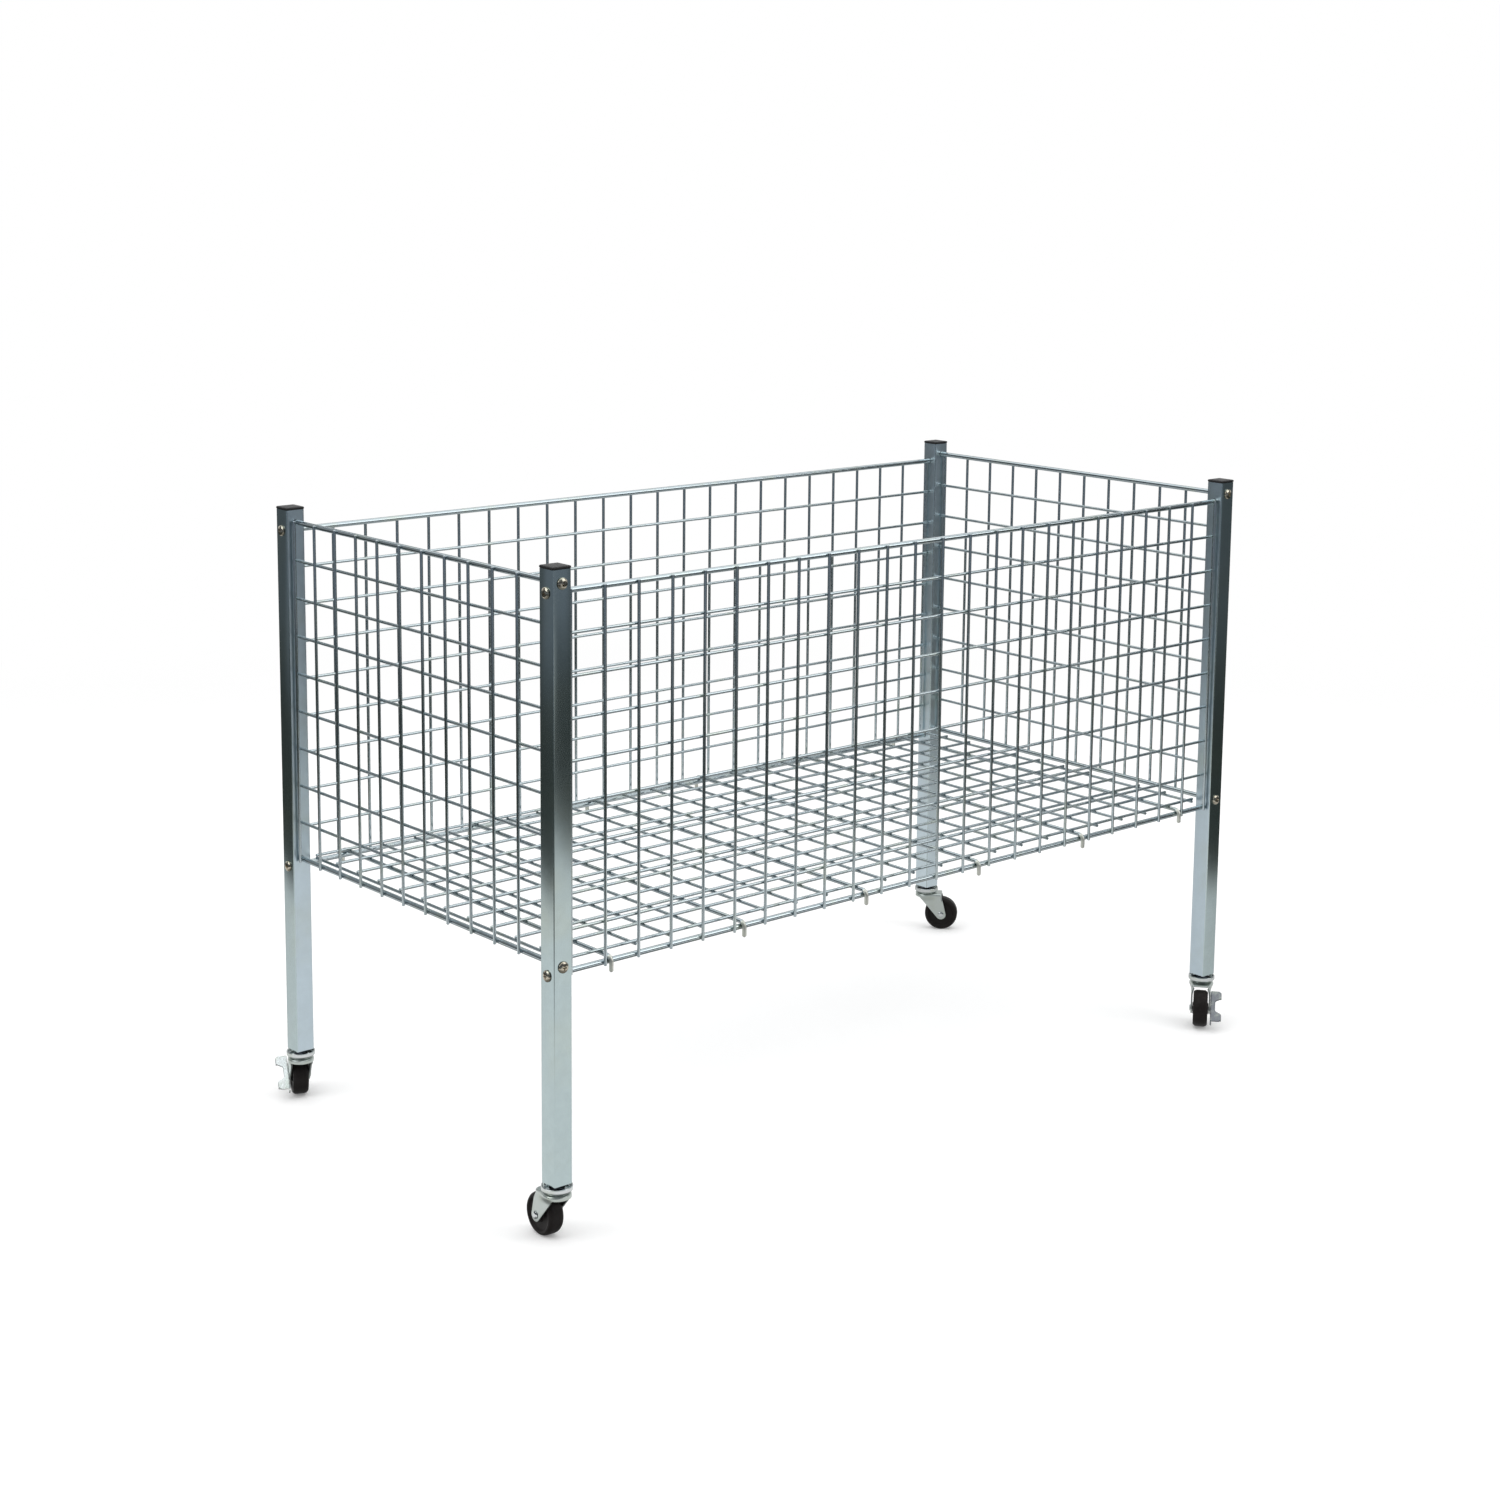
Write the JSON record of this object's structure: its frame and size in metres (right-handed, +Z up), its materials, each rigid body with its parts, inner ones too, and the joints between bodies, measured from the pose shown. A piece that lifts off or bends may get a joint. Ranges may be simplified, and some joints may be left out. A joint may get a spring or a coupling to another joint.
{
  "type": "retail dump bin",
  "caption": "Wheeled wire-mesh dump bin: square tube posts with mesh side panels, a hooked wire shelf and swivel casters, some with a brake pedal.",
  "frame": {"origin": "on the floor, midway between the axes of the four posts", "axes": "+X along the long sides, -Y to the front, +Z up"},
  "size_m": [1.252, 0.68, 0.8083],
  "materials": {
    "zinc_tube": "bright zinc plated tube",
    "zinc_wire": "bright zinc plated wire",
    "zinc_shelf": "bright zinc plated wire",
    "screw_zinc": "yellow zinc plated",
    "caster_zinc": "dull zinc plated pressing",
    "caster_bright": "polished zinc",
    "black_plastic": "moulded black plastic",
    "insert_nylon": "moulded nylon",
    "wheel_rubber": "black rubber"
  },
  "bodies": {
    "frame": {"panel_front": "zinc_wire", "panel_back": "zinc_wire", "panel_left": "zinc_wire", "panel_right": "zinc_wire", "post_front_left": "zinc_tube", "cap_front_left": "black_plastic", "screw_front_left_side_top": "screw_zinc", "screw_front_left_side_bottom": "screw_zinc", "screw_front_left_end_top": "screw_zinc", "screw_front_left_end_bottom": "screw_zinc", "insert_front_left": "insert_nylon", "stem_front_left": "caster_bright", "nut_front_left": "caster_bright", "post_front_right": "zinc_tube", "cap_front_right": "black_plastic", "screw_front_right_side_top": "screw_zinc", "screw_front_right_side_bottom": "screw_zinc", "screw_front_right_end_top": "screw_zinc", "screw_front_right_end_bottom": "screw_zinc", "insert_front_right": "insert_nylon", "stem_front_right": "caster_bright", "nut_front_right": "caster_bright", "post_back_left": "zinc_tube", "cap_back_left": "black_plastic", "screw_back_left_side_top": "screw_zinc", "screw_back_left_side_bottom": "screw_zinc", "screw_back_left_end_top": "screw_zinc", "screw_back_left_end_bottom": "screw_zinc", "insert_back_left": "insert_nylon", "stem_back_left": "caster_bright", "nut_back_left": "caster_bright", "post_back_right": "zinc_tube", "cap_back_right": "black_plastic", "screw_back_right_side_top": "screw_zinc", "screw_back_right_side_bottom": "screw_zinc", "screw_back_right_end_top": "screw_zinc", "screw_back_right_end_bottom": "screw_zinc", "insert_back_right": "insert_nylon", "stem_back_right": "caster_bright", "nut_back_right": "caster_bright"},
    "shelf": {"shelf": "zinc_shelf"},
    "swivel_front_left": {"fork_front_left": "caster_zinc", "axle_front_left": "caster_bright"},
    "wheel_front_left": {"wheel_front_left": "wheel_rubber"},
    "swivel_front_right": {"fork_front_right": "caster_zinc", "axle_front_right": "caster_bright"},
    "wheel_front_right": {"wheel_front_right": "wheel_rubber"},
    "brake_pedal_front_right": {"brake_pedal_front_right": "caster_bright"},
    "swivel_back_left": {"fork_back_left": "caster_zinc", "axle_back_left": "caster_bright"},
    "wheel_back_left": {"wheel_back_left": "wheel_rubber"},
    "brake_pedal_back_left": {"brake_pedal_back_left": "caster_bright"},
    "swivel_back_right": {"fork_back_right": "caster_zinc", "axle_back_right": "caster_bright"},
    "wheel_back_right": {"wheel_back_right": "wheel_rubber"}
  },
  "joints": [
    {"name": "shelf_lift", "type": "slide", "parent": "frame", "child": "shelf", "axis": [0, 0, 1], "range_m": [0, 0.036]},
    {"name": "swivel_front_left", "type": "hinge", "parent": "frame", "child": "swivel_front_left", "pos_m": [-0.5925, -0.2875, 0.06], "axis": [0, 0, 1], "continuous": true},
    {"name": "wheel_spin_front_left", "type": "hinge", "parent": "swivel_front_left", "child": "wheel_front_left", "pos_m": [-0.59163, -0.26251, 0.0265], "axis": [-0.9994, 0.0349, 0], "continuous": true},
    {"name": "swivel_front_right", "type": "hinge", "parent": "frame", "child": "swivel_front_right", "pos_m": [0.5925, -0.2875, 0.06], "axis": [0, 0, 1], "continuous": true},
    {"name": "wheel_spin_front_right", "type": "hinge", "parent": "swivel_front_right", "child": "wheel_front_right", "pos_m": [0.57291, -0.30303, 0.0265], "axis": [0.6211, -0.7837, 0], "continuous": true},
    {"name": "brake_front_right", "type": "hinge", "parent": "swivel_front_right", "child": "brake_pedal_front_right", "pos_m": [0.57291, -0.30303, 0.0265], "axis": [0.6211, -0.7837, 0], "range_deg": [-40, 0]},
    {"name": "swivel_back_left", "type": "hinge", "parent": "frame", "child": "swivel_back_left", "pos_m": [-0.5925, 0.2875, 0.06], "axis": [0, 0, 1], "continuous": true},
    {"name": "wheel_spin_back_left", "type": "hinge", "parent": "swivel_back_left", "child": "wheel_back_left", "pos_m": [-0.58233, 0.31034, 0.0265], "axis": [-0.9135, 0.4067, 0], "continuous": true},
    {"name": "brake_back_left", "type": "hinge", "parent": "swivel_back_left", "child": "brake_pedal_back_left", "pos_m": [-0.58233, 0.31034, 0.0265], "axis": [-0.9135, 0.4067, 0], "range_deg": [0, 40]},
    {"name": "swivel_back_right", "type": "hinge", "parent": "frame", "child": "swivel_back_right", "pos_m": [0.5925, 0.2875, 0.06], "axis": [0, 0, 1], "continuous": true},
    {"name": "wheel_spin_back_right", "type": "hinge", "parent": "swivel_back_right", "child": "wheel_back_right", "pos_m": [0.60923, 0.26892, 0.0265], "axis": [0.7431, 0.6691, 0], "continuous": true}
  ]
}
